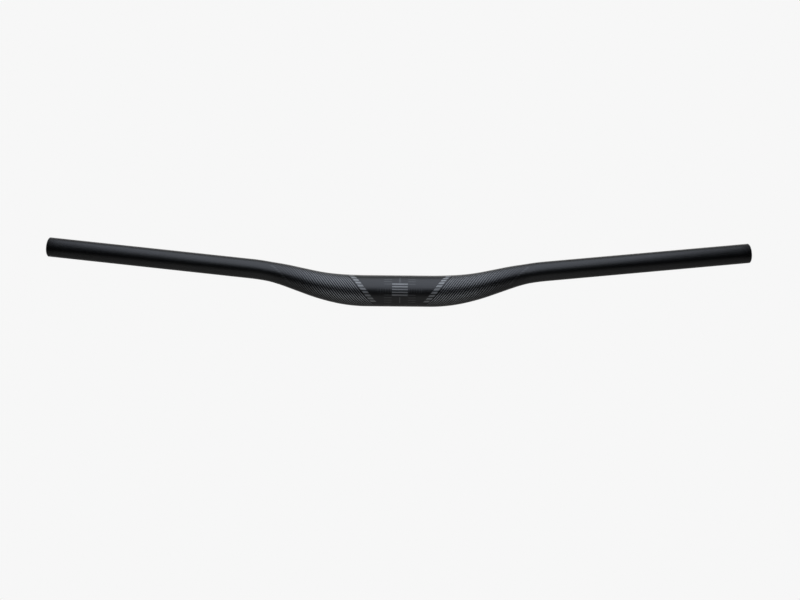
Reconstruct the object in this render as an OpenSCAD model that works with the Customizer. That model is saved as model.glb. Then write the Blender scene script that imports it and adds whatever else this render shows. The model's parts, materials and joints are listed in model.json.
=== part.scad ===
// Riser handlebar for a mountain bicycle: one drawn, butted, tapered and bent aluminium tube.
// Lengths are in millimetres. The origin is on the tube's axis in the middle of the clamp zone,
// +X runs along the bar, -Y faces forward and +Z is up.

/* [Bar] */
// Width of the bar from end to end
bar_width = 800; // [640:1:960]
// Height of the outer bends' corners above the axis of the clamp zone
rise = 21; // [12:0.1:40]
// Upward slope of the grip ends, in degrees
upsweep = 5; // [1:0.1:9]
// Backward slope of the grip ends, in degrees
backsweep = 8; // [1:0.1:14]

/* [Bends] */
// Radius of the tube's axis in the bend next to the clamp zone
inner_bend_r = 230; // [120:1:300]
// Radius of the tube's axis in the bend next to the grip end
outer_bend_r = 230; // [120:1:300]
// Length of the straight run between the two bends
bend_gap = 24; // [4:1:60]
// Backward slope of that straight run, in degrees
rise_sweep = 4; // [0:0.1:8]

/* [Tube] */
// Outside diameter of the clamp zone
clamp_d = 35; // [28:0.1:42]
// Length of the clamp zone, which is straight and keeps one diameter
clamp_len = 70; // [50:1:90]
// Wall of the clamp zone
clamp_wall = 2.4; // [1.8:0.1:3.2]
// Outside diameter of the grip ends
grip_d = 22.2; // [18:0.1:27]
// Wall of the grip ends
grip_wall = 2; // [1.6:0.1:2.6]

/* [Taper] */
// Length of tube over which the clamp diameter comes down to the grip diameter
taper_len = 115; // [80:1:150]
// Length of tube over which the taper sets in
taper_in = 34; // [10:1:45]
// Length of tube over which the taper runs out
taper_out = 12; // [4:1:30]
// Length of tube over which the wall thins from the clamp zone's to the grip end's
butt_len = 90; // [60:1:120]

/* [Ends] */
// Chamfer round the outer edge of each open end
outer_chamfer = 0.8; // [0.3:0.1:1]
// Chamfer round the bore's edge at each open end
bore_chamfer = 0.4; // [0.2:0.1:0.5]

/* [Hidden] */

$fn = 96;
// Corners of the swept tube's section, and stretches along it
ring_sides = 48;
stretches = 20;
// How far a straight tube runs on into the swept wall that grows from it
lap = 1;
// How far it thins from each side over that stretch, so that it feathers out inside the swept wall
feather = 0.1;
// How far the swept wall stays below the straight tube's two surfaces where they meet
seam = 0.04;
// The steepest slope that the run between the bends may take, and the halvings that find it
steepest = 70;
halvings = 40;

clamp_r = clamp_d / 2;
grip_r = grip_d / 2;
clamp_bore_r = clamp_r - clamp_wall;
grip_bore_r = grip_r - grip_wall;

clamp_dir = [1, 0, 0];
grip_dir = heading(upsweep, backsweep);
rise_dir = heading(rise_slope(upsweep, steepest, halvings), rise_sweep);
inner_turn = turn(clamp_dir, rise_dir);
outer_turn = turn(rise_dir, grip_dir);

// Places on the axis of the right-hand side, and their distances along it from the clamp zone's end
clamp_end = [clamp_len / 2, 0, 0];
inner_end_s = arc_len(inner_bend_r, inner_turn);
inner_end = arc_point(clamp_end, clamp_dir, rise_dir, inner_bend_r, inner_turn);
gap_end_s = inner_end_s + bend_gap;
gap_end = inner_end + bend_gap * rise_dir;
bend_end_s = gap_end_s + arc_len(outer_bend_r, outer_turn);
bend_end = arc_point(gap_end, rise_dir, grip_dir, outer_bend_r, outer_turn);
sweep_len = max(bend_end_s, taper_len, butt_len);
grip_start = axis_point(sweep_len);

// The end face leans, so its rim reaches past the axis by this much along X
rim_reach = (grip_r - outer_chamfer) * norm([grip_dir.y, grip_dir.z]);
grip_len = (bar_width / 2 - rim_reach - grip_start.x) / grip_dir.x;

// Unit vector that climbs and runs back by two angles
function heading(up, back) = [cos(up) * cos(back), cos(up) * sin(back), sin(up)];

// Angle between two unit vectors
function turn(a, b) = acos(a * b);

function arc_len(r, angle) = r * angle * PI / 180;

// Unit vector in the plane of a and b, square to a and on b's side
function inward(a, b) = (b - (a * b) * a) / norm(b - (a * b) * a);

// Point and direction at an angle along a bend that starts at p along a and turns towards b
function arc_point(p, a, b, r, angle) = p + r * (sin(angle) * a + (1 - cos(angle)) * inward(a, b));
function arc_dir(a, b, angle) = cos(angle) * a + sin(angle) * inward(a, b);

// Height of the outer bend's corner when the run between the bends climbs at this slope
function corner_height(slope) =
    let (run = heading(slope, rise_sweep))
    run.z * (inner_bend_r * tan(turn(clamp_dir, run) / 2) + bend_gap
        + outer_bend_r * tan(turn(run, grip_dir) / 2));

// Slope between low and high at which that height is the rise
function rise_slope(low, high, tries) =
    let (middle = (low + high) / 2)
    tries == 0 ? middle
    : corner_height(middle) < rise ? rise_slope(middle, high, tries - 1)
    : rise_slope(low, middle, tries - 1);

// Point of the tube's axis at a distance from the clamp zone's end
function axis_point(s) =
    s < inner_end_s ? arc_point(clamp_end, clamp_dir, rise_dir, inner_bend_r, inner_turn * s / inner_end_s)
    : s < gap_end_s ? inner_end + (s - inner_end_s) * rise_dir
    : s < bend_end_s ? arc_point(gap_end, rise_dir, grip_dir, outer_bend_r,
        outer_turn * (s - gap_end_s) / (bend_end_s - gap_end_s))
    : bend_end + (s - bend_end_s) * grip_dir;

// Direction of the axis there
function axis_dir(s) =
    s < inner_end_s ? arc_dir(clamp_dir, rise_dir, inner_turn * s / inner_end_s)
    : s < gap_end_s ? rise_dir
    : s < bend_end_s ? arc_dir(rise_dir, grip_dir, outer_turn * (s - gap_end_s) / (bend_end_s - gap_end_s))
    : grip_dir;

// Share of a change made after a distance s: it starts gently over ease_in, then runs straight,
// and ends gently over ease_out at length total
function eased(s, total, ease_in, ease_out) =
    let (pace = 1 / (total - (ease_in + ease_out) / 2), left = total - s)
    s <= 0 ? 0
    : s < ease_in ? pace * s * s / (2 * ease_in)
    : left > ease_out ? pace * (s - ease_in / 2)
    : left > 0 ? 1 - pace * left * left / (2 * ease_out)
    : 1;

function outer_r(s) = clamp_r + (grip_r - clamp_r) * eased(s, taper_len, taper_in, taper_out);
function wall(s) = clamp_wall + (grip_wall - clamp_wall) * eased(s, butt_len, butt_len / 2, butt_len / 2);

// One ring of corners round the axis
function ring(s, r) =
    let (side = cross([0, 0, 1], axis_dir(s)) / norm(cross([0, 0, 1], axis_dir(s))),
        top = cross(axis_dir(s), side))
    [for (i = [0 : ring_sides - 1])
        axis_point(s) + r * (cos(360 * i / ring_sides) * side + sin(360 * i / ring_sides) * top)];

// Two triangles between four corners
function patch(a, b, c, d) = [[a, b, c], [a, c, d]];

// The tapered double bend: the tube's wall swept from the clamp zone to the grip end
module tapered_bend() {
    stations = [for (i = [0 : stretches]) sweep_len * i / stretches];
    outer = [for (s = stations) each ring(s, outer_r(s) - seam)];
    bore = [for (s = stations) each ring(s, (outer_r(s) - wall(s)) / cos(180 / ring_sides) + seam)];
    inside = len(outer);
    faces = [
        for (j = [0 : stretches - 1])
            for (i = [0 : ring_sides - 1])
                let (k = (i + 1) % ring_sides, a = j * ring_sides, b = a + ring_sides)
                each concat(
                    patch(a + i, b + i, b + k, a + k),
                    patch(inside + a + k, inside + b + k, inside + b + i, inside + a + i)),
        for (i = [0 : ring_sides - 1])
            let (k = (i + 1) % ring_sides, z = stretches * ring_sides)
            each concat(
                patch(i, k, inside + k, inside + i),
                patch(z + k, z + i, inside + z + i, inside + z + k))
    ];
    polyhedron(points = concat(outer, bore), faces = faces);
}

// The straight tube in the middle, which the stem holds
module clamp_zone() {
    rotate([0, 90, 0])
        rotate_extrude()
            polygon([
                [clamp_bore_r + feather, -clamp_len / 2 - lap],
                [clamp_r - feather, -clamp_len / 2 - lap],
                [clamp_r, -clamp_len / 2],
                [clamp_r, clamp_len / 2],
                [clamp_r - feather, clamp_len / 2 + lap],
                [clamp_bore_r + feather, clamp_len / 2 + lap],
                [clamp_bore_r, clamp_len / 2],
                [clamp_bore_r, -clamp_len / 2]
            ]);
}

// The straight tube for a grip and the levers, with both edges of its open end broken
module grip_end() {
    translate(grip_start)
        rotate([0, 90 - upsweep, backsweep])
            rotate_extrude()
                polygon([
                    [grip_bore_r, 0],
                    [grip_bore_r + feather, -lap],
                    [grip_r - feather, -lap],
                    [grip_r, 0],
                    [grip_r, grip_len - outer_chamfer],
                    [grip_r - outer_chamfer, grip_len],
                    [grip_bore_r + bore_chamfer, grip_len],
                    [grip_bore_r, grip_len - bore_chamfer]
                ]);
}

module handlebar() {
    color("#1d1d20")
        union() {
            clamp_zone();
            for (flip = [0, 1])
                mirror([flip, 0, 0]) {
                    tapered_bend();
                    grip_end();
                }
        }
}

handlebar();
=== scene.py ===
import json
import math

import bpy
import numpy as np
from mathutils import Matrix, Vector


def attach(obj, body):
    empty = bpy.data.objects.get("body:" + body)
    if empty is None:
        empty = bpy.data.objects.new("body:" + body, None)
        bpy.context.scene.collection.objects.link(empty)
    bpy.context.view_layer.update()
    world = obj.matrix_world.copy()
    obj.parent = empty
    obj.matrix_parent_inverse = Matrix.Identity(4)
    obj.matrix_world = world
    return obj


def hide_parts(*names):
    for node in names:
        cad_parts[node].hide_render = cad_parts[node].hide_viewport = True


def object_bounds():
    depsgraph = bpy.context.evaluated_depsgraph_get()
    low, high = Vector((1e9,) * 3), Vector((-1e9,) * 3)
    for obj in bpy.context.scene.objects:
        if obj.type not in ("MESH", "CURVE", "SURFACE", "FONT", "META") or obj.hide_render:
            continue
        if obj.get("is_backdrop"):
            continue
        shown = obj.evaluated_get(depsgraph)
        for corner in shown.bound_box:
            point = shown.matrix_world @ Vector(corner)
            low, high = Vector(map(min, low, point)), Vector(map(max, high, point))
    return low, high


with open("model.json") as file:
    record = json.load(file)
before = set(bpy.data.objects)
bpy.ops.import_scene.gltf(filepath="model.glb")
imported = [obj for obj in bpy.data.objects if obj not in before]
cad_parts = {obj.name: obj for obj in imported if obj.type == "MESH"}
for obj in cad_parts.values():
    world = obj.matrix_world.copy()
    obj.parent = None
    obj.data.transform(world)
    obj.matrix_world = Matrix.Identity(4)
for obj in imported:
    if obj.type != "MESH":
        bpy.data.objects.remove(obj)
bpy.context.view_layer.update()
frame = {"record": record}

# ---- Sizes, in millimetres as in the part's own source; MM turns them into metres ----

MM = 0.001
mounts = {mount["name"]: mount for mount in frame["record"]["mounts"]}
CLAMP_R = mounts["stem_clamp"]["dims"]["r_mm"]
CLAMP_HALF = mounts["stem_clamp"]["dims"]["length_mm"] / 2
GRIP_R = mounts["grip_right"]["dims"]["r_mm"]
GRIP_BORE_R = mounts["plug_bore_right"]["dims"]["r_mm"]
GRIP_DIR = Vector(mounts["grip_right"]["axis"]).normalized()
MOUNT_INSET = 1.0           # the grip mounts sit this far inside the end faces
END_CENTRE = Vector(mounts["grip_right"]["pos_m"]) / MM + GRIP_DIR * MOUNT_INSET

CLAMP_WALL, GRIP_WALL = 2.4, GRIP_R - GRIP_BORE_R
BEND_R = 230.0              # radius of the axis in all four bends
BEND_GAP = 24.0             # straight run between the two bends of a side
RISE_SLOPE, RISE_SWEEP = 15.46505, 4.0      # how that run climbs and leans back, in degrees
TAPER_LEN, TAPER_IN, TAPER_OUT = 115.0, 34.0, 12.0
BUTT_LEN = 90.0             # length over which the wall thins
OUTER_CHAMFER, BORE_CHAMFER = 0.8, 0.4
EDGE_ROUND = 0.12           # what deburring leaves on each edge of an end
SKIN_INSET = 0.05           # the outside lies this far under the exact tube, inside the faceted one

SIDES = 128                 # facets round the tube
BEND_STEP, STRAIGHT_STEP = 1.6, 12.0        # spacing of the sections along it
BORE_STEP = 4.8             # and along the bore in the bends
SHARP_EDGE = 50             # degrees, over which an edge isn't shaded as a round


def heading(up, back):
    """Unit vector that climbs and runs back by two angles in degrees."""
    up, back = math.radians(up), math.radians(back)
    return Vector((math.cos(up) * math.cos(back), math.cos(up) * math.sin(back), math.sin(up)))


CLAMP_DIR = Vector((1, 0, 0))
RISE_DIR = heading(RISE_SLOPE, RISE_SWEEP)


def along_bend(start, a, b, angle):
    """Point and direction at an angle along a bend that leaves start along a and turns to b."""
    inward = (b - a.dot(b) * a).normalized()
    point = start + BEND_R * (math.sin(angle) * a + (1 - math.cos(angle)) * inward)
    return point, math.cos(angle) * a + math.sin(angle) * inward


INNER_TURN, OUTER_TURN = CLAMP_DIR.angle(RISE_DIR), RISE_DIR.angle(GRIP_DIR)
CLAMP_END = CLAMP_DIR * CLAMP_HALF
INNER_END = along_bend(CLAMP_END, CLAMP_DIR, RISE_DIR, INNER_TURN)[0]
GAP_END = INNER_END + BEND_GAP * RISE_DIR
BEND_END = along_bend(GAP_END, RISE_DIR, GRIP_DIR, OUTER_TURN)[0]
GRIP_START_S = CLAMP_HALF + BEND_R * (INNER_TURN + OUTER_TURN) + BEND_GAP
END_S = GRIP_START_S + (END_CENTRE - BEND_END).dot(GRIP_DIR)


def axis_at(s):
    """The axis's point and direction at a distance along it from the middle, left is negative."""
    left, s = s < 0, abs(s) - CLAMP_HALF
    inner, outer = BEND_R * INNER_TURN, BEND_R * OUTER_TURN
    if s < 0:
        point, way = CLAMP_END + s * CLAMP_DIR, CLAMP_DIR
    elif s < inner:
        point, way = along_bend(CLAMP_END, CLAMP_DIR, RISE_DIR, s / BEND_R)
    elif s < inner + BEND_GAP:
        point, way = INNER_END + (s - inner) * RISE_DIR, RISE_DIR
    elif s < inner + BEND_GAP + outer:
        point, way = along_bend(GAP_END, RISE_DIR, GRIP_DIR, (s - inner - BEND_GAP) / BEND_R)
    else:
        point, way = BEND_END + (s - inner - BEND_GAP - outer) * GRIP_DIR, GRIP_DIR
    if left:
        point, way = Vector((-point.x, point.y, point.z)), Vector((way.x, -way.y, -way.z))
    return point, way


def eased(s, total, ease_in, ease_out):
    """Share of a change made after a distance s: gently in, straight, and gently out."""
    pace, left = 1 / (total - (ease_in + ease_out) / 2), total - s
    if s <= 0:
        return 0.0
    if s < ease_in:
        return pace * s * s / (2 * ease_in)
    if left > ease_out:
        return pace * (s - ease_in / 2)
    return 1 - pace * left * left / (2 * ease_out) if left > 0 else 1.0


def outer_r(s):
    """Radius of the outside at a distance along the axis from the middle."""
    tapered = eased(abs(s) - CLAMP_HALF, TAPER_LEN, TAPER_IN, TAPER_OUT)
    return CLAMP_R + (GRIP_R - CLAMP_R) * tapered - SKIN_INSET


def bore_r(s):
    """Radius of the bore there."""
    thinned = eased(abs(s) - CLAMP_HALF, BUTT_LEN, BUTT_LEN / 2, BUTT_LEN / 2)
    return outer_r(s) + SKIN_INSET - CLAMP_WALL - (GRIP_WALL - CLAMP_WALL) * thinned


# ---- The tube as one closed mesh ----

# Its profile, a list of (distance along the axis, radius, zone), is run round the axis
OUTSIDE, END, BORE = 0, 1, 2

# The bake map: three strips for the outside and the ends, and a thin one for the bore
END_RUN = 3.0               # the outside's strips also take this much of an end's own profile
STRIP_LONG = (END_S + END_RUN) * 2 / 3      # a third of the outside's length
MAP_SCALE = 0.0035          # of the map's width for a millimetre of the outside
MAP_GAP = 0.012             # between strips, as a share of the map
SIDE_R = 12.0               # the tube is no thicker in the two side strips
CENTRE_HIGH, SIDE_HIGH = (2 * math.pi * r * MAP_SCALE for r in (CLAMP_R, SIDE_R))
BORE_LOW = 4 * MAP_GAP + CENTRE_HIGH + 2 * SIDE_HIGH
BORE_WIDE, BORE_HIGH = 0.96, 1 - MAP_GAP - BORE_LOW
NOWHERE = (9999.0, 0.0)     # a place on the marks' map that no mark reaches


def spaced(a, b, step):
    """Distances from a to b, both kept, about a step apart."""
    count = max(1, math.ceil(abs(b - a) / step))
    return [a + (b - a) * i / count for i in range(count + 1)]


def deburred(corners):
    """Corners of an end's profile, each replaced by three points on a small round."""
    points = []
    for before, corner, after in zip(corners, corners[1:], corners[2:]):
        before, corner, after = Vector(before), Vector(corner), Vector(after)
        a = corner + (before - corner).normalized() * EDGE_ROUND
        b = corner + (after - corner).normalized() * EDGE_ROUND
        points += [a, (a + 2 * corner + b) / 4, b]
    return points


def half_profile():
    """The right half's profile: the outside going out, the end, and the bore going back."""
    # Each stop gets a section of its own; two strips of the bake map meet at the third one
    stops = [0.0, CLAMP_HALF, STRIP_LONG / 2, GRIP_START_S, END_S - OUTER_CHAMFER - EDGE_ROUND]
    steps = [STRAIGHT_STEP, BEND_STEP, BEND_STEP, STRAIGHT_STEP]
    outside = [0.0]
    for a, b, step in zip(stops, stops[1:], steps):
        outside += spaced(a, b, step)[1:]
    points = [(s, outer_r(s), OUTSIDE) for s in outside[:-1]]
    skin, mouth = GRIP_R - SKIN_INSET, GRIP_BORE_R + BORE_CHAMFER
    # The first and last corners only give the directions from which the end is reached
    corners = [(GRIP_START_S, skin), (END_S - OUTER_CHAMFER, skin), (END_S, skin - OUTER_CHAMFER),
               (END_S, mouth), (END_S - BORE_CHAMFER, GRIP_BORE_R), (GRIP_START_S, GRIP_BORE_R)]
    points += [(p.x, p.y, END) for p in deburred(corners)]
    inside = spaced(END_S - STRAIGHT_STEP, GRIP_START_S, STRAIGHT_STEP)
    inside += spaced(GRIP_START_S, CLAMP_HALF, BORE_STEP)[1:] + [0.0]
    return points + [(s, bore_r(s), BORE) for s in inside]


right = half_profile()
profile = right + [(-s, r, zone) for s, r, zone in reversed(right[1:-1])]
s_of, r_of, zone_of = (np.array(column) for column in zip(*profile))
rings = len(profile)
turns = np.radians(-180 + 360 * np.arange(SIDES + 1) / SIDES)       # 0 faces forward, 90 up

verts = np.empty((rings, SIDES, 3))
for i, (s, r, _) in enumerate(profile):
    centre, way = axis_at(s)
    back = Vector((-way.y, way.x, 0)).normalized()
    top = way.cross(back)
    spokes = np.outer(np.sin(turns[:-1]), top) - np.outer(np.cos(turns[:-1]), back)
    verts[i] = np.array(centre) + r * spokes

ring, side = (grid.ravel() for grid in
              np.meshgrid(np.arange(rings), np.arange(SIDES), indexing="ij"))
next_ring, next_side = (ring + 1) % rings, (side + 1) % SIDES
faces = np.stack([ring * SIDES + side, next_ring * SIDES + side,
                  next_ring * SIDES + next_side, ring * SIDES + next_side], axis=1)

mesh = bpy.data.meshes.new("handlebar_tube")
mesh.from_pydata((verts.reshape(-1, 3) * MM).tolist(), [], faces.tolist())
tube = bpy.data.objects.new("handlebar_tube", mesh)
bpy.context.scene.collection.objects.link(tube)
mesh.shade_smooth()
mesh.set_sharp_from_angle(angle=math.radians(SHARP_EDGE))

# Each face's corners: this ring and the next, this side and the next
corner_ring = np.stack([ring, ring + 1, ring + 1, ring], axis=1)
corner_side = np.stack([side, side, side + 1, side + 1], axis=1)
face_zone = np.maximum(zone_of[ring], zone_of[next_ring])
face_zone[(zone_of[ring] == OUTSIDE) | (zone_of[next_ring] == OUTSIDE)] = OUTSIDE

# How far each ring lies along the profile from the outside's middle, so that the ends get room
step = np.hypot(np.diff(s_of, append=s_of[0]), np.diff(r_of, append=r_of[0]))
run = np.concatenate([[0], np.cumsum(step)])

around = np.degrees(turns[corner_side])
along = s_of[corner_ring % rings]
radius = r_of[corner_ring % rings]

# Where the marks go, on the outside only: millimetres along the axis and degrees round it
etch = np.stack([along, around], axis=-1)
etch[face_zone != OUTSIDE] = NOWHERE

# Where each corner goes on the bake map
total = run[-1]
outside_run = np.where(run[corner_ring] > total / 2, run[corner_ring] - total, run[corner_ring])
strip = np.rint(np.clip(outside_run.mean(axis=1) / STRIP_LONG, -1, 1)).astype(int)
strip_low = {0: MAP_GAP, -1: 2 * MAP_GAP + CENTRE_HIGH, 1: 3 * MAP_GAP + CENTRE_HIGH + SIDE_HIGH}
low = np.array([strip_low[k] for k in strip])[:, None]
u = 0.5 + (outside_run - strip[:, None] * STRIP_LONG) * MAP_SCALE
v = low + (around / 360 + 0.5) * 2 * math.pi * radius * MAP_SCALE
bore = face_zone == BORE
u[bore] = 0.5 + BORE_WIDE / 2 * along[bore] / END_S
v[bore] = BORE_LOW + (around[bore] / 360 + 0.5) * BORE_HIGH
bake = np.stack([u, v], axis=-1)

for name, values in (("OFBake", bake), ("EtchMap", etch)):
    layer = mesh.uv_layers.new(name=name)
    layer.data.foreach_set("uv", values.astype(np.float32).ravel())

# ---- The etched marks: lengths along the bar in millimetres, angles round it in degrees ----

# Four measures place them: "off" is the distance from their middle, "turn" the angle round the
# tube, where 0 faces forward and 90 up, "band" and "stripe" the distances from two slanting lines
PRINT_CENTRE = 1.9          # the marks are centred this far right of the bar's middle
BAND_LEAN = 0.2335          # length along the bar for each degree round it
STRIPE_LEAN = 0.2213        # the same for the stripes
STRIPE_SPREAD = 0.00075     # share by which they spread outwards for each degree further up
FIRST_STRIPE, STRIPE_PITCH = 44.43, 2.79    # the innermost stripe's place, and how far to the next
PITCH_GROWTH = 0.00566      # share by which the pitch grows for a millimetre
LEAST_GROWN = 0.1           # keeps the stripes' logarithm real where there are none

# Rows of equal marks: the measure they follow, their pitch, and where one of them lies
ROWS = {
    "scale_row": ("turn", 10.3, -0.8),
    "tick_row": ("off", 2.8, 10.2),
    "block_row": ("turn", 11.9, 22.5),
    "closing_row": ("turn", 8.8, 6.0),
}
# Slow changes: the measure they follow, from where to where, and the values there
CHANGES = {
    "stripe_half": ("stripe", 75, 140, 0.2, 0.1),       # half a stripe's width, in pitches
    "fade": ("stripe", 72, 150, 1, 0),
    # The next two paint light and shade into the stripes: faintest at the front, a little stronger
    # on top and strongest round the underside
    "upper": ("turn", 0, 22, 0.36, 0.5),
    "lower": ("turn", 4, -24, 1, 2.8),
    "under": ("turn", -57, -25, 0.5, 1),
    # Painted shade on the blocks: fainter at the front than on top
    "block_strength": ("turn", 6, 28, 0.6, 0.77),
    # How strong the painted shade under the stripes is: half on top, full from the front round the
    # underside
    "depth": ("turn", 38, 5, 0.5, 1),
}
# Each mark: how strong it is, as a product, and the limits that it fills, each as its middle and
# half its width
MARKS = {
    "stripes": (("fade", "upper", "lower", "under"),
                {"stripe_row": (0, "stripe_half"), "stripe": (91.4, 48.2), "turn": (6, 63)}),
    "closing_blocks": ((0.14,), {"closing_row": (0, 2.6), "stripe": (131.5, 1.4), "turn": (6, 38)}),
    "slanted_blocks": (("block_strength",),
                       {"block_row": (0, 4), "band": (38.5, 3.1), "turn": (16.5, 58.6)}),
    "middle_bars": (("block_strength",),
                    {"scale_row": (0, 2.6), "off": (0, 8.75), "turn": (10.5, 25)}),
    "upper_scale": ((0.24,), {"scale_row": (0, 0.8), "off": (13.25, 4.25), "turn": (40.5, 13)}),
    "lower_scale": ((0.3,), {"scale_row": (0, 0.8), "off": (13.25, 4.25), "turn": (-25, 19)}),
    "ticks": ((0.2,), {"tick_row": (0, 0.22), "off": (17.75, 8.25), "turn": (5.3, 8)}),
    "upper_centre_line": ((0.3,), {"off": (0, 0.4), "turn": (49, 13)}),
    "lower_centre_line": ((0.3,), {"off": (0, 0.4), "turn": (-33, 14)}),
}
# The painted shade under the stripes, a darker ground between them, stated in the same way
PAINTED_SHADE_UNDER_STRIPES = (("fade", "depth"), {"stripe": (91.4, 49), "turn": (6, 63)})

# ---- Materials ----

ETCHED_DULLER = 0.12        # how much rougher the etched oxide is than the dyed one


def linear(hex_colour):
    """An sRGB hex colour such as #1d1d20 in linear light, with alpha."""
    parts = [int(hex_colour[i:i + 2], 16) / 255 for i in (1, 3, 5)]
    lit = (c / 12.92 if c <= 0.04045 else ((c + 0.055) / 1.055) ** 2.4 for c in parts)
    return (*lit, 1.0)


def add(tree, kind, settings, inputs):
    """Adds one node with its settings, and gives each input a value or a link."""
    node = tree.nodes.new("ShaderNode" + kind)
    for name, value in settings.items():
        setattr(node, name, value)
    for name, value in inputs.items():
        if isinstance(value, bpy.types.NodeSocket):
            tree.links.new(value, node.inputs[name])
        else:
            node.inputs[name].default_value = value
    return node


def new_material(name):
    """A material with no nodes yet, and its node tree."""
    material = bpy.data.materials.new(name)
    material.use_nodes = True
    material.node_tree.nodes.clear()
    return material, material.node_tree


def filled(tree, at, strengths, limits):
    """The product of the strengths inside all the limits, and 0 outside them."""
    mark = 1.0
    for strength in strengths:
        mark = add(tree, "Math", {"operation": "MULTIPLY"},
                   {0: mark, 1: at.get(strength, strength)}).outputs[0]
    for name, (middle, half) in limits.items():
        inside = add(tree, "Math", {"operation": "COMPARE"},
                     {0: at[name], 1: middle, 2: at.get(half, half)}).outputs[0]
        mark = add(tree, "Math", {"operation": "MULTIPLY"}, {0: inside, 1: mark}).outputs[0]
    return mark


def etched_marks(tree):
    """How strongly each point is etched, and how much painted shade darkens it, both from 0 to 1.
    """
    place = add(tree, "UVMap", {"uv_map": "EtchMap"}, {}).outputs[0]
    place = add(tree, "SeparateXYZ", {}, {0: place}).outputs
    turn = place["Y"]
    off = add(tree, "Math", {"operation": "SUBTRACT"}, {0: place["X"], 1: PRINT_CENTRE}).outputs[0]
    off = add(tree, "Math", {"operation": "ABSOLUTE"}, {0: off}).outputs[0]
    band = add(tree, "Math", {"operation": "MULTIPLY_ADD"},
               {0: turn, 1: -BAND_LEAN, 2: off}).outputs[0]
    stripe = add(tree, "Math", {"operation": "MULTIPLY_ADD"},
                 {0: turn, 1: -STRIPE_LEAN, 2: off}).outputs[0]
    stretch = add(tree, "Math", {"operation": "MULTIPLY_ADD"},
                  {0: turn, 1: STRIPE_SPREAD, 2: 1.0}).outputs[0]
    stripe = add(tree, "Math", {"operation": "DIVIDE"}, {0: stripe, 1: stretch}).outputs[0]
    at = {"off": off, "turn": turn, "band": band, "stripe": stripe}

    # The stripes' pitch grows outwards, so a logarithm counts them
    grown = add(tree, "Math", {"operation": "MULTIPLY_ADD"},
                {0: stripe, 1: PITCH_GROWTH, 2: 1 - PITCH_GROWTH * FIRST_STRIPE}).outputs[0]
    grown = add(tree, "Math", {"operation": "MAXIMUM"}, {0: grown, 1: LEAST_GROWN}).outputs[0]
    count = add(tree, "Math", {"operation": "LOGARITHM"}, {0: grown, 1: math.e}).outputs[0]
    count = add(tree, "Math", {"operation": "DIVIDE"},
                {0: count, 1: PITCH_GROWTH * STRIPE_PITCH}).outputs[0]
    at["stripe_row"] = add(tree, "Math", {"operation": "WRAP"},
                           {0: count, 1: 0.5, 2: -0.5}).outputs[0]

    for name, (measure, pitch, start) in ROWS.items():
        moved = add(tree, "Math", {"operation": "SUBTRACT"}, {0: at[measure], 1: start}).outputs[0]
        at[name] = add(tree, "Math", {"operation": "WRAP"},
                       {0: moved, 1: pitch / 2, 2: -pitch / 2}).outputs[0]
    for name, (measure, start, end, first, last) in CHANGES.items():
        at[name] = add(tree, "MapRange", {"interpolation_type": "SMOOTHSTEP"},
                       {"Value": at[measure], "From Min": start, "From Max": end,
                        "To Min": first, "To Max": last}).outputs[0]

    etched = 0.0
    for strengths, limits in MARKS.values():
        mark = filled(tree, at, strengths, limits)
        etched = add(tree, "Math", {"operation": "MAXIMUM"}, {0: mark, 1: etched}).outputs[0]
    return etched, filled(tree, at, *PAINTED_SHADE_UNDER_STRIPES)


def anodised_blasted():
    """Black anodised aluminium, bead blasted first: a soft, dark satin with a fine even grain."""
    material, tree = new_material("anodised_aluminium_blasted")
    place = add(tree, "TexCoord", {}, {}).outputs["Object"]
    # Blasting grit leaves pits of 0.1 to 0.2 mm; they are drawn 0.5 mm wide, or they would not show
    grain = add(tree, "TexNoise", {}, {"Vector": place, "Scale": 1 / (0.5 * MM),
                                       "Detail": 2.0, "Roughness": 0.6}).outputs["Fac"]
    bump = add(tree, "Bump", {}, {"Height": grain, "Strength": 0.5, "Distance": 0.08 * MM})
    # The dye takes a little unevenly, over some 40 mm
    cloud = add(tree, "TexNoise", {},
                {"Vector": place, "Scale": 1 / (40 * MM), "Detail": 2.0}).outputs["Fac"]
    dye_and_shade = add(tree, "MixRGB", {},
              {"Fac": cloud, "Color1": linear("#2b2b2b"), "Color2": linear("#2d2d2e")}).outputs[0]
    satin = add(tree, "MapRange", {}, {"Value": cloud, "To Min": 0.37, "To Max": 0.39}).outputs[0]
    # Under the stripes the ground is painted darker: painted shade, full from the front round the
    # underside and half on top. Where the laser took the dye away, the oxide is grey and dull
    etched, painted_shade = etched_marks(tree)
    dye_and_shade = add(tree, "MixRGB", {},
              {"Fac": painted_shade, "Color1": dye_and_shade, "Color2": linear("#151516")}).outputs[0]
    colour = add(tree, "MixRGB", {},
                 {"Fac": etched, "Color1": dye_and_shade, "Color2": linear("#656667")}).outputs[0]
    rough = add(tree, "Math", {"operation": "MULTIPLY_ADD"},
                {0: etched, 1: ETCHED_DULLER, 2: satin}).outputs[0]
    metal = add(tree, "Math", {"operation": "SUBTRACT"}, {0: 1.0, 1: etched}).outputs[0]
    # Dyed oxide mirrors less at its rims than bare metal does, so the tint isn't white
    shader = add(tree, "BsdfPrincipled", {},
                 {"Base Color": colour, "Metallic": metal, "Roughness": rough,
                  "Specular Tint": linear("#dfdfdf"), "Normal": bump.outputs[0]})
    add(tree, "OutputMaterial", {}, {"Surface": shader.outputs[0]})
    return material


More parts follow.
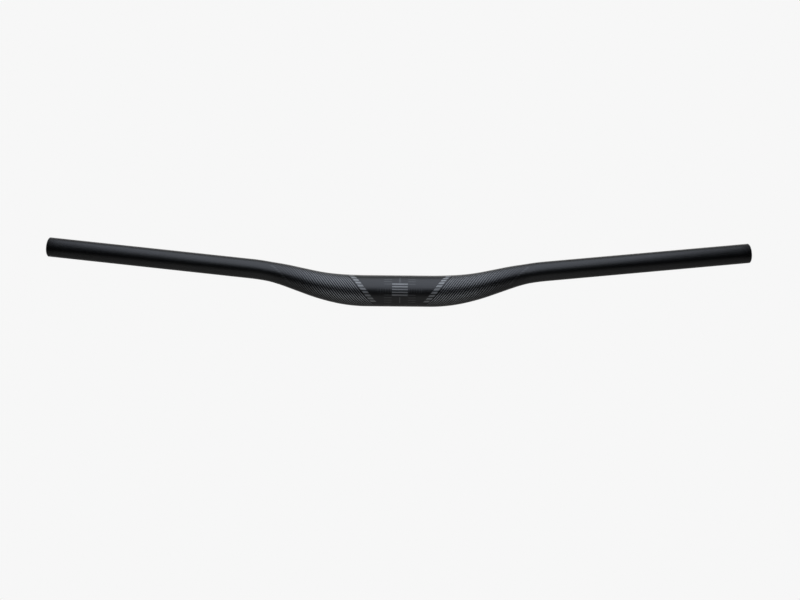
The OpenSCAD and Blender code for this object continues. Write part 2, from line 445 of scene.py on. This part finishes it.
def anodised_turned():
    """The cut and chamfered ends, turned before anodising: fine rings, and a little glossier."""
    material, tree = new_material("anodised_aluminium_turned")
    place = add(tree, "UVMap", {"uv_map": "OFBake"}, {}).outputs[0]
    # A turning tool's feed marks are 0.1 mm apart; they are drawn 0.25 mm apart, or they would
    # not show. The map's U runs over the end's edge, and the wave's own period is a tenth of pi
    feed = add(tree, "TexWave", {"bands_direction": "X"},
               {"Vector": place, "Scale": math.pi / 10 / (0.25 * MAP_SCALE)}).outputs["Fac"]
    rough = add(tree, "MapRange", {}, {"Value": feed, "To Min": 0.28, "To Max": 0.33}).outputs[0]
    bump = add(tree, "Bump", {}, {"Height": feed, "Strength": 0.1, "Distance": 0.02 * MM})
    shader = add(tree, "BsdfPrincipled", {},
                 {"Base Color": linear("#45464a"), "Metallic": 1.0, "Roughness": rough,
                  "Normal": bump.outputs[0]})
    add(tree, "OutputMaterial", {}, {"Surface": shader.outputs[0]})
    return material


def anodised_drawn():
    """The bore, drawn over a mandrel and anodised but not blasted: faint lines along the tube."""
    material, tree = new_material("anodised_aluminium_drawn")
    place = add(tree, "UVMap", {"uv_map": "OFBake"}, {}).outputs[0]
    # The mandrel's lines lie 0.15 mm apart and run on for some 60 mm
    line_wide, line_long = 0.15, 60.0
    bore_long, bore_round = 2 * END_S / BORE_WIDE, 2 * math.pi * GRIP_BORE_R / BORE_HIGH
    scale = (bore_long / line_long, bore_round / line_wide, 1.0)
    place = add(tree, "Mapping", {}, {"Vector": place, "Scale": scale}).outputs[0]
    drawn = add(tree, "TexNoise", {},
                {"Vector": place, "Scale": 1.0, "Detail": 3.0}).outputs["Fac"]
    rough = add(tree, "MapRange", {}, {"Value": drawn, "To Min": 0.4, "To Max": 0.6}).outputs[0]
    shader = add(tree, "BsdfPrincipled", {},
                 {"Base Color": linear("#1c1c1e"), "Metallic": 1.0, "Roughness": rough})
    add(tree, "OutputMaterial", {}, {"Surface": shader.outputs[0]})
    return material


# One for each zone, in the order of the zones' numbers
for material in (anodised_blasted(), anodised_turned(), anodised_drawn()):
    mesh.materials.append(material)
mesh.polygons.foreach_set("material_index", face_zone.astype(np.int32))
mesh.update()

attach(tube, "root")
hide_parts("handlebar")

# ---- Camera, floor and light ----

CAMERA_AWAY = 2000.0        # from the point it looks at
CAMERA_TARGET = Vector((2.093, 0, -10.106))
CAMERA_AZIMUTH, CAMERA_ELEVATION, CAMERA_ROLL = 0.22598, 4.54658, 0.51639   # degrees
CAMERA_LENS = 80.5505       # for a sensor 36 mm wide

azimuth, elevation, roll = (math.radians(angle) for angle in
                            (CAMERA_AZIMUTH, CAMERA_ELEVATION, CAMERA_ROLL))
back = Vector((math.sin(azimuth) * math.cos(elevation), -math.cos(azimuth) * math.cos(elevation),
               math.sin(elevation)))
right_way = Vector((math.cos(azimuth), math.sin(azimuth), 0))
up_way = back.cross(right_way)
turned_right = right_way * math.cos(roll) + up_way * math.sin(roll)
turned_up = -right_way * math.sin(roll) + up_way * math.cos(roll)
camera = bpy.data.objects.new("camera", bpy.data.cameras.new("camera"))
bpy.context.scene.collection.objects.link(camera)
camera.data.lens = CAMERA_LENS
camera.matrix_world = (Matrix.Translation((CAMERA_TARGET + back * CAMERA_AWAY) * MM)
                       @ Matrix((turned_right, turned_up, back)).transposed().to_4x4())
bpy.context.scene.camera = camera

PALE = "#f7f7f7"
FLOOR_Z, FLOOR_HALF = -0.5, 30.0            # metres, as all sizes from here on
# Distances from under the bar: from the first to the second the lit floor turns into the backdrop.
# To the camera it starts as mostly backdrop already, so that it looks even and keeps a soft shadow
LIT_R, FAR_R, START = 0.0, 0.57, 0.6
GLOSS_LIT_R, GLOSS_FAR_R = 0.5, 1.4         # the same as the bar's gloss sees it
# Gloss sees the room unlit at the first and fully pale at the second, as a direction's part along Y
FRONT_DARK, BACK_PALE = -0.35, 1.0


def backdrop_shown(tree):
    """1 for the rays that see the backdrop: the camera's, and gloss or glass that looks at it."""
    rays = add(tree, "LightPath", {}, {}).outputs
    shown = rays["Is Camera Ray"]
    for name in ("Is Glossy Ray", "Is Transmission Ray"):
        shown = add(tree, "Math", {"operation": "MAXIMUM"}, {0: shown, 1: rays[name]}).outputs[0]
    return shown, rays["Is Glossy Ray"]


def backdrop_colour(tree, way, glossy):
    """The backdrop's colour: pale all round for the camera, and dim at the front for gloss."""
    front = add(tree, "SeparateXYZ", {}, {0: way}).outputs["Y"]
    dim = add(tree, "MapRange", {"interpolation_type": "SMOOTHSTEP"},
              {"Value": front, "From Min": FRONT_DARK, "From Max": BACK_PALE}).outputs[0]
    level = add(tree, "MixRGB", {},
                {"Fac": glossy, "Color1": linear("#ffffff"), "Color2": dim}).outputs[0]
    return add(tree, "MixRGB", {"blend_type": "MULTIPLY"},
               {"Fac": 1.0, "Color1": linear(PALE), "Color2": level}).outputs[0]


def pale_floor():
    """A matt painted floor, which runs on as the same pale backdrop."""
    material, tree = new_material("painted_floor")
    place = add(tree, "NewGeometry", {}, {}).outputs["Position"]
    flat = add(tree, "VectorMath", {"operation": "MULTIPLY"}, {0: place, 1: (1, 1, 0)}).outputs[0]
    away = add(tree, "VectorMath", {"operation": "LENGTH"}, {0: flat}).outputs["Value"]
    shown, glossy = backdrop_shown(tree)
    near = add(tree, "Math", {"operation": "MULTIPLY_ADD"},
               {0: glossy, 1: GLOSS_LIT_R - LIT_R, 2: LIT_R}).outputs[0]
    past = add(tree, "Math", {"operation": "MULTIPLY_ADD"},
               {0: glossy, 1: GLOSS_FAR_R - FAR_R, 2: FAR_R}).outputs[0]
    start = add(tree, "Math", {"operation": "MULTIPLY_ADD"},
                {0: glossy, 1: -START, 2: START}).outputs[0]
    far = add(tree, "MapRange", {"interpolation_type": "SMOOTHSTEP"},
              {"Value": away, "From Min": near, "From Max": past, "To Min": start}).outputs[0]
    far = add(tree, "Math", {"operation": "MULTIPLY"}, {0: far, 1: shown}).outputs[0]
    way = add(tree, "VectorMath", {"operation": "NORMALIZE"}, {0: place}).outputs[0]
    colour = backdrop_colour(tree, way, glossy)
    # A paint roller leaves a texture of some 3 mm
    rolled = add(tree, "TexNoise", {},
                 {"Vector": place, "Scale": 1 / (3 * MM), "Detail": 2.0}).outputs["Fac"]
    paint = add(tree, "MixRGB", {}, {"Fac": rolled, "Color1": linear("#cecac2"),
                                     "Color2": linear("#d1cdc5")}).outputs[0]
    matt = add(tree, "BsdfDiffuse", {}, {"Color": paint})
    glow = add(tree, "Emission", {}, {"Color": colour, "Strength": 1.0})
    mixed = add(tree, "MixShader", {}, {0: far, 1: matt.outputs[0], 2: glow.outputs[0]})
    add(tree, "OutputMaterial", {}, {"Surface": mixed.outputs[0]})
    return material


floor_mesh = bpy.data.meshes.new("floor")
floor_corners = [(x * FLOOR_HALF, y * FLOOR_HALF, FLOOR_Z)
                 for x, y in ((-1, -1), (1, -1), (1, 1), (-1, 1))]
floor_mesh.from_pydata(floor_corners, [], [(0, 1, 2, 3)])
floor = bpy.data.objects.new("floor", floor_mesh)
bpy.context.scene.collection.objects.link(floor)
floor_mesh.materials.append(pale_floor())
floor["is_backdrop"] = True

FILL = 0.2                  # light from the room on everything
world = bpy.data.worlds.new("studio")
world.use_nodes = True
world.node_tree.nodes.clear()
bpy.context.scene.world = world
tree = world.node_tree
shown, glossy = backdrop_shown(tree)
way = add(tree, "TexCoord", {}, {}).outputs["Generated"]
colour = backdrop_colour(tree, way, glossy)
seen = add(tree, "Background", {}, {"Color": colour, "Strength": 1.0})
fill = add(tree, "Background", {}, {"Color": linear("#ffffff"), "Strength": FILL})
mixed = add(tree, "MixShader", {}, {0: shown, 1: fill.outputs[0], 2: seen.outputs[0]})
add(tree, "OutputWorld", {}, {"Surface": mixed.outputs[0]})

# Softboxes: width and height in metres, place, tilt about X, level where 1 is white, and colour
SOFTBOXES = {
    "softbox_above": ((1.05, 1.81), (-0.021, -0.716, 0.6), 0, 3.385, (0.93, 1.0, 1.12)),
    "softbox_behind": ((1.6, 0.8), (0, 1.6, 0.7), -90, 1.4, (1.0, 1.0, 1.0)),
}
for name, (size, place, tilt, level, colour) in SOFTBOXES.items():
    lamp = bpy.data.lights.new(name, "AREA")
    lamp.shape = "RECTANGLE"
    lamp.size, lamp.size_y = size
    lamp.energy = level * math.pi * size[0] * size[1]
    lamp.color = colour
    softbox = bpy.data.objects.new(name, lamp)
    softbox.location = place
    softbox.rotation_euler.x = math.radians(tilt)
    softbox.visible_camera = False
    bpy.context.scene.collection.objects.link(softbox)

bpy.context.scene.view_settings.view_transform = "Standard"

low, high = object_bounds()
